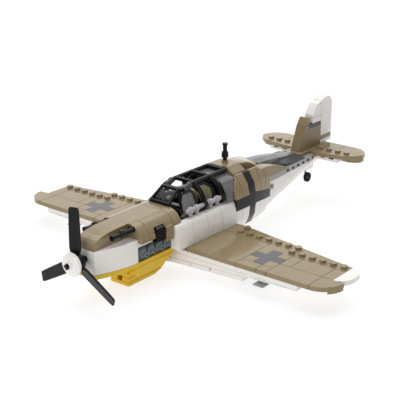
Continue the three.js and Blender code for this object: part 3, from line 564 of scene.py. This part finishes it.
def canopy():
    node = "canopy_frame"
    for i, path in enumerate(canopy_bars()):
        piece(f"{node}.bar_{i + 1}", bar(path, 0.19), BLACK, node, 0)
    for k, (top, foot) in enumerate(zip(ARCH_Y, CLIP_Y)):
        for s, side in SIDES:
            piece(f"{node}.arch_{side}_{k + 1}", bar(arch(s, top, foot), 0.2), BLACK, node, 0)
        turned_piece(f"{node}.clip_{k + 1}", CLIP_RING, (SILL_X, foot, SILL_Z), Y_AXIS, BLACK, node)
    for s, side in SIDES:
        turned_piece(f"{node}.sleeve_{side}", SLEEVE, (s, -2.62, 4.14), (0, 1, 0.26), DARK, node)


def glazing():
    node = "windscreen_frame"
    for s, side in SIDES:
        pane = loft([[at(s * (x - d), y, z - d * 0.4) for x, y, z in SIDE_PANE] for d in (0, 0.07)])
        piece(f"windscreen_side_{side}", pane, HAZE, node, THIN_EDGE, False)
    piece("gunsight.base", block((-0.2, 0.2), (-3.98, -3.62), (3.06, 3.34)), LIGHT, node, EDGE, False)
    turned_piece("gunsight.lens", SIGHT_LENS, (0, -3.8, 3.5), (0, 1, 0.4), PALE, node, False)
    turned_piece("gunsight.post", SIGHT_POST, (0, -3.8, 3.42), Z_AXIS, LIGHT, node, False)
    node = "instrument_panel"
    for i, (x, z, r) in enumerate(DIALS):
        dial = [(0, -0.04), (r, -0.04), (r, 0.03), (r * 0.86, 0.05), (r * 0.8, 0.02), (0, 0.02)]
        look = LIGHT if i % 2 else PALE
        turned_piece(f"{node}.dial_{i + 1}", dial, (x, -3.26, z), Y_AXIS, look, node, False)


def sills():
    for s, side in SIDES:
        node = f"sill_bar_{side}"
        (_, y0, _), (_, y1, _) = box_in_studs(node)
        length = y1 - y0
        rod = [(0, 0), (0.17, 0), (0.2, 0.03), (0.2, length - 0.03), (0.17, length), (0, length)]
        turned_piece(f"{node}.rod", rod, (s * SILL_X, y0, SILL_Z), Y_AXIS, SILVER, node)
        for i, y in enumerate(GRIP_Y):
            turned_piece(f"{node}.grip_{i + 1}", GRIP, (s * SILL_X, y, SILL_Z), Y_AXIS, SILVER, node)
            foot = block((s * 2.0, s * 2.26), (y + 0.02, y + 0.34), (2.16, SILL_Z - 0.1))
            piece(f"{node}.foot_{i + 1}", foot, SILVER, node)


# ---- small trim on the tail ----
BOOM_START, BOOM_LENGTH = 8.5, 8.4              # y where the boom's strip starts, and its length
BOOM_HALF, BOOM_TAPER = 2.12, 0.6               # its half width there, and what it loses to its rear end
FIRST_GAP = 11.95                               # y of the strip's first stud gap
PIN_RING = [(0.1, 0.0), (0.22, 0.0), (0.25, -0.03), (0.25, -0.12), (0.1, -0.12)]


def trim():
    """A pin on each side of the boom, and black blocks in the stud gaps of its strip and of the tail: painted
    shade for the depth of the gaps.
    """
    for s, side in SIDES:
        turned_piece(f"boom.pin_{side}", PIN_RING, (s * 2.2, 9.12, 1.49), (s, 0.05, 0), PALE, "boom", False)
        for i in range(6):
            y = FIRST_GAP + i
            half = BOOM_HALF - (y - BOOM_START) / BOOM_LENGTH * BOOM_TAPER
            # black block: painted shade in a stud gap of the boom's strip
            shade_gap = block((s * (half - 0.24), s * (half - 0.16)), (y + 0.01, y + 0.44), (2.09, 2.33))
            piece(f"boom_top.gap_{side}_{i + 1}", shade_gap, BLACK, "boom_top", 0, False)
        for i, x in enumerate((1.3, 2.3, 3.3)):
            # black block: painted shade in a gap under the tailplane's front edge
            shade_gap = block((s * (x - 0.25), s * (x + 0.25)), (17.66, 17.9), (2.25, 2.38))
            piece(f"tailplane_under.gap_{side}_{i + 1}", shade_gap, BLACK, "tailplane_under", 0, False)


# ---- nose guns ----
GUN_X, GUN_Y, GUN_Z = 1.5, -12.02, 2.8          # muzzle of the port gun
BARREL = [(0, 0.25), (0.1, 0.25), (0.1, 0.02), (0.12, 0), (0.22, 0), (0.25, 0.03), (0.25, 0.24), (0.22, 0.28),
          (0.2, 0.28), (0.2, 0.95), (0.23, 0.98), (0.28, 1.0), (0.28, 1.42), (0.25, 1.46), (0.2, 1.46),
          (0.2, 2.66), (0, 2.66)]


def guns():
    node = "nose_guns"
    for s, side in SIDES:
        turned_piece(f"{node}.barrel_{side}", BARREL, (s * GUN_X, GUN_Y, GUN_Z), Y_AXIS, BLACK, node)
        clip = block((s * GUN_X - 0.13, s * GUN_X + 0.13), (-10.96, -10.66), (2.98, 3.12))
        piece(f"{node}.clip_{side}", clip, BLACK, node)


# ---- spine, and the saddle on each side of it ----
SPINE = [(8.36, 1.0, 2.96, 3.88), (10, 1.0, 2.95, 3.8), (12, 0.88, 2.85, 3.54), (14, 0.7, 2.75, 3.16),
         (15.55, 0.52, 2.66, 2.9)]              # y, half width, bottom, top
RIDGES = [(-1.0, -0.2), (-0.97, -0.16), (-0.36, -0.01), (-0.33, -0.045), (-0.3, 0.0), (0.3, 0.0),
          (0.33, -0.045), (0.36, -0.01), (0.97, -0.16), (1.0, -0.2)]    # share of half width, drop
FULL_DROP = 0.6                                 # a spine lower than this drops less at its sides
SADDLE_FRONT, SADDLE_REAR = 8.52, 15.54         # y of the saddle's ends
SADDLE_STEP, SADDLE_FLOOR = 11.96, 2.58         # y where it gets wider, and z of its underside
SADDLE_HALF, SADDLE_WIDE = 1.09, 1.62           # its half width before and after that


def spine_ring(y):
    _, half, low, top = between(SPINE, y)
    ring = [(half * u, top + drop * min(1, (top - low) / FULL_DROP)) for u, drop in RIDGES]
    return [at(x, y, z) for x, z in ring + [(half, low), (-half, low)]]


def spine():
    for i, (front, rear) in enumerate(((8.36, 11.98), (12.02, 15.55))):
        segment = loft([spine_ring(y) for y in steps(front, rear, 12)])
        piece(f"spine.segment_{i + 1}", segment, LIGHT, "spine")


def saddle_ring(s, y):
    t = (y - SADDLE_FRONT) / (SADDLE_REAR - SADDLE_FRONT)
    inner = between(SPINE, y)[1] + 0.03
    wide = min(SADDLE_WIDE, SADDLE_HALF + max(0, y - SADDLE_STEP) * 4)
    foot = [(inner, SADDLE_FLOOR), (wide, SADDLE_FLOOR)]
    ring = foot + [(wide, mix(2.94, 2.66, t)), (inner, mix(3.42, 2.74, t))]
    return [at(s * x, y, z) for x, z in ring]


def saddle():
    for s, side in SIDES:
        slope = loft([saddle_ring(s, y) for y in steps(SADDLE_FRONT, SADDLE_REAR, 14)])
        piece(f"spine_saddle.{side}", slope, DARK, "spine_saddle")


# ---- wheels: a ribbed tyre on a dished hub, as shares of the wheel's radius r and half width k ----
RIBS = 5
PIN_CAP = [(0, 0.115), (0.17, 0.115), (0.205, 0.08), (0.205, 0.035), (0, 0.035)]


def tyre_profile(r, k):
    profile = [(r * 0.56, -k * 0.72), (r * 0.62, -k), (r * 0.84, -k), (r * 0.95, -k * 0.8)]
    for i in range(RIBS):
        z = -k * 0.62 + i * k * 0.31
        profile += [(r, z - k * 0.09), (r, z + k * 0.09)]
        if i < RIBS - 1:
            profile += [(r * 0.965, z + k * 0.12), (r * 0.965, z + k * 0.19)]
    return profile + [(r * 0.95, k * 0.8), (r * 0.84, k), (r * 0.62, k), (r * 0.56, k * 0.72)]


def hub_profile(r, k, bore):
    return [(bore, -k * 0.66), (bore + 0.05, -k * 0.7), (r * 0.34, -k * 0.7), (r * 0.38, -k * 0.4),
            (r * 0.48, -k * 0.4), (r * 0.55, -k * 0.7), (r * 0.555, k * 0.7), (r * 0.48, k * 0.4),
            (r * 0.38, k * 0.4), (r * 0.34, k * 0.7), (bore + 0.05, k * 0.7), (bore, k * 0.66)]


def wheel(node, axis, r, half, bore, hub_look):
    low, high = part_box(node)
    centre = in_studs((low + high) / 2)
    turned_piece(f"{node}.tyre", tyre_profile(r, half), centre, axis, RUBBER, node)
    turned_piece(f"{node}.hub", hub_profile(r, half, bore), centre, axis, hub_look, node)
    return centre


def wheels():
    for _, side in SIDES:
        wheel(f"gear_wheel_{side}", Z_AXIS, 1.0, 0.19, 0.195, LIGHT)
    low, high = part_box("tail_wheel")
    half = (high.x - low.x) / 2 / STUD
    x, y, z = wheel("tail_wheel", X_AXIS, (high.y - low.y) / 2 / STUD, half, 0.13, BLACK)
    turned_piece("tail_strut.pin_cap", PIN_CAP, (x + half, y, z), X_AXIS, BLACK, "tail_strut", False)


bricks()
exhausts()
propeller()
canopy()
glazing()
sills()
trim()
guns()
spine()
saddle()
wheels()
# The clips under the wings are white bricks painted pale grey: painted shade from the wing above them.
rebuild("spar_plate", [WHITE, PALE, WHITE, WHITE, PALE, WHITE, WHITE, WHITE], SPAR, THIN_EDGE)

# ---- camera, light and floor ----
CAMERA_PLACE = (0.416841, -0.539630, 0.279362)
CAMERA_TILT, CAMERA_TURN = math.radians(69.87), math.radians(38.6218)
LENS, SENSOR = 90.03, 36                        # millimetres
MIDDLE = Vector((0, 0, 0.03))                   # what the lights are aimed at
BACK_WALL = (-0.5, 0.7, 0.5)                    # direction of the brightest part of the surroundings
FRONT_LEVEL, BACK_LEVEL = 0.2, 1.3              # strength of the surroundings in front and behind
FLOOR_DROP, FLOOR_GLOW = 0.0002, 0.74           # gap under the plane in metres, and the floor's own light


def camera():
    data = bpy.data.cameras.new("camera")
    data.sensor_width = SENSOR
    data.lens = LENS
    data.clip_start = 0.05
    data.clip_end = 10
    obj = linked("camera", data)
    obj.location = CAMERA_PLACE
    obj.rotation_euler = (CAMERA_TILT, 0, CAMERA_TURN)
    bpy.context.scene.camera = obj


def studio_walls():
    """White surroundings, dim in front of the plane and bright behind it."""
    world = bpy.data.worlds.new("studio")
    world.use_nodes = True
    tree = world.node_tree
    glow = tree.nodes["Background"]
    glow.inputs["Color"].default_value = (1, 1, 1, 1)
    coords = tree.nodes.new("ShaderNodeTexCoord")
    facing = tree.nodes.new("ShaderNodeVectorMath")
    facing.operation = "DOT_PRODUCT"
    facing.inputs[1].default_value = BACK_WALL
    level = tree.nodes.new("ShaderNodeMapRange")
    level.interpolation_type = "SMOOTHSTEP"
    limits = {"From Min": -0.1, "From Max": 0.92, "To Min": FRONT_LEVEL, "To Max": BACK_LEVEL}
    for key, value in limits.items():
        level.inputs[key].default_value = value
    tree.links.new(coords.outputs["Generated"], facing.inputs[0])
    tree.links.new(facing.outputs["Value"], level.inputs["Value"])
    tree.links.new(level.outputs["Result"], glow.inputs["Strength"])
    bpy.context.scene.world = world


def disc_light(name, offset, size, power):
    light = bpy.data.lights.new(name, "AREA")
    light.shape = "DISK"
    light.size = size
    light.energy = power
    lamp = linked(name, light)
    lamp.location = MIDDLE + Vector(offset)
    lamp.rotation_euler = (-Vector(offset)).to_track_quat("-Z", "Y").to_euler()


def floor():
    bm = bmesh.new()
    bmesh.ops.create_grid(bm, x_segments=2, y_segments=2, size=4)
    mesh = bpy.data.meshes.new("floor")
    bm.to_mesh(mesh)
    bm.free()
    obj = linked("floor", mesh)
    obj.location.z = CAD_BOX[0].z - FLOOR_DROP
    white = (1, 1, 1, 1)
    mat, tree, bsdf = shader("floor", Roughness=0.9, Emission_Color=white, Emission_Strength=FLOOR_GLOW,
                             Specular_IOR_Level=0)
    low, high = ((level, level, level, 1) for level in (0.29, 0.31))
    tree.links.new(ramp(tree, noise(tree, 6, 2), low, high), bsdf.inputs["Base Color"])
    mesh.materials.append(mat)


camera()
studio_walls()
disc_light("top", (-0.35, 0.35, 1.5), 2.0, 14)
disc_light("front", (0.16, -0.92, 0.3), 0.6, 2.9)
floor()
bpy.context.scene.view_settings.view_transform = "Standard"
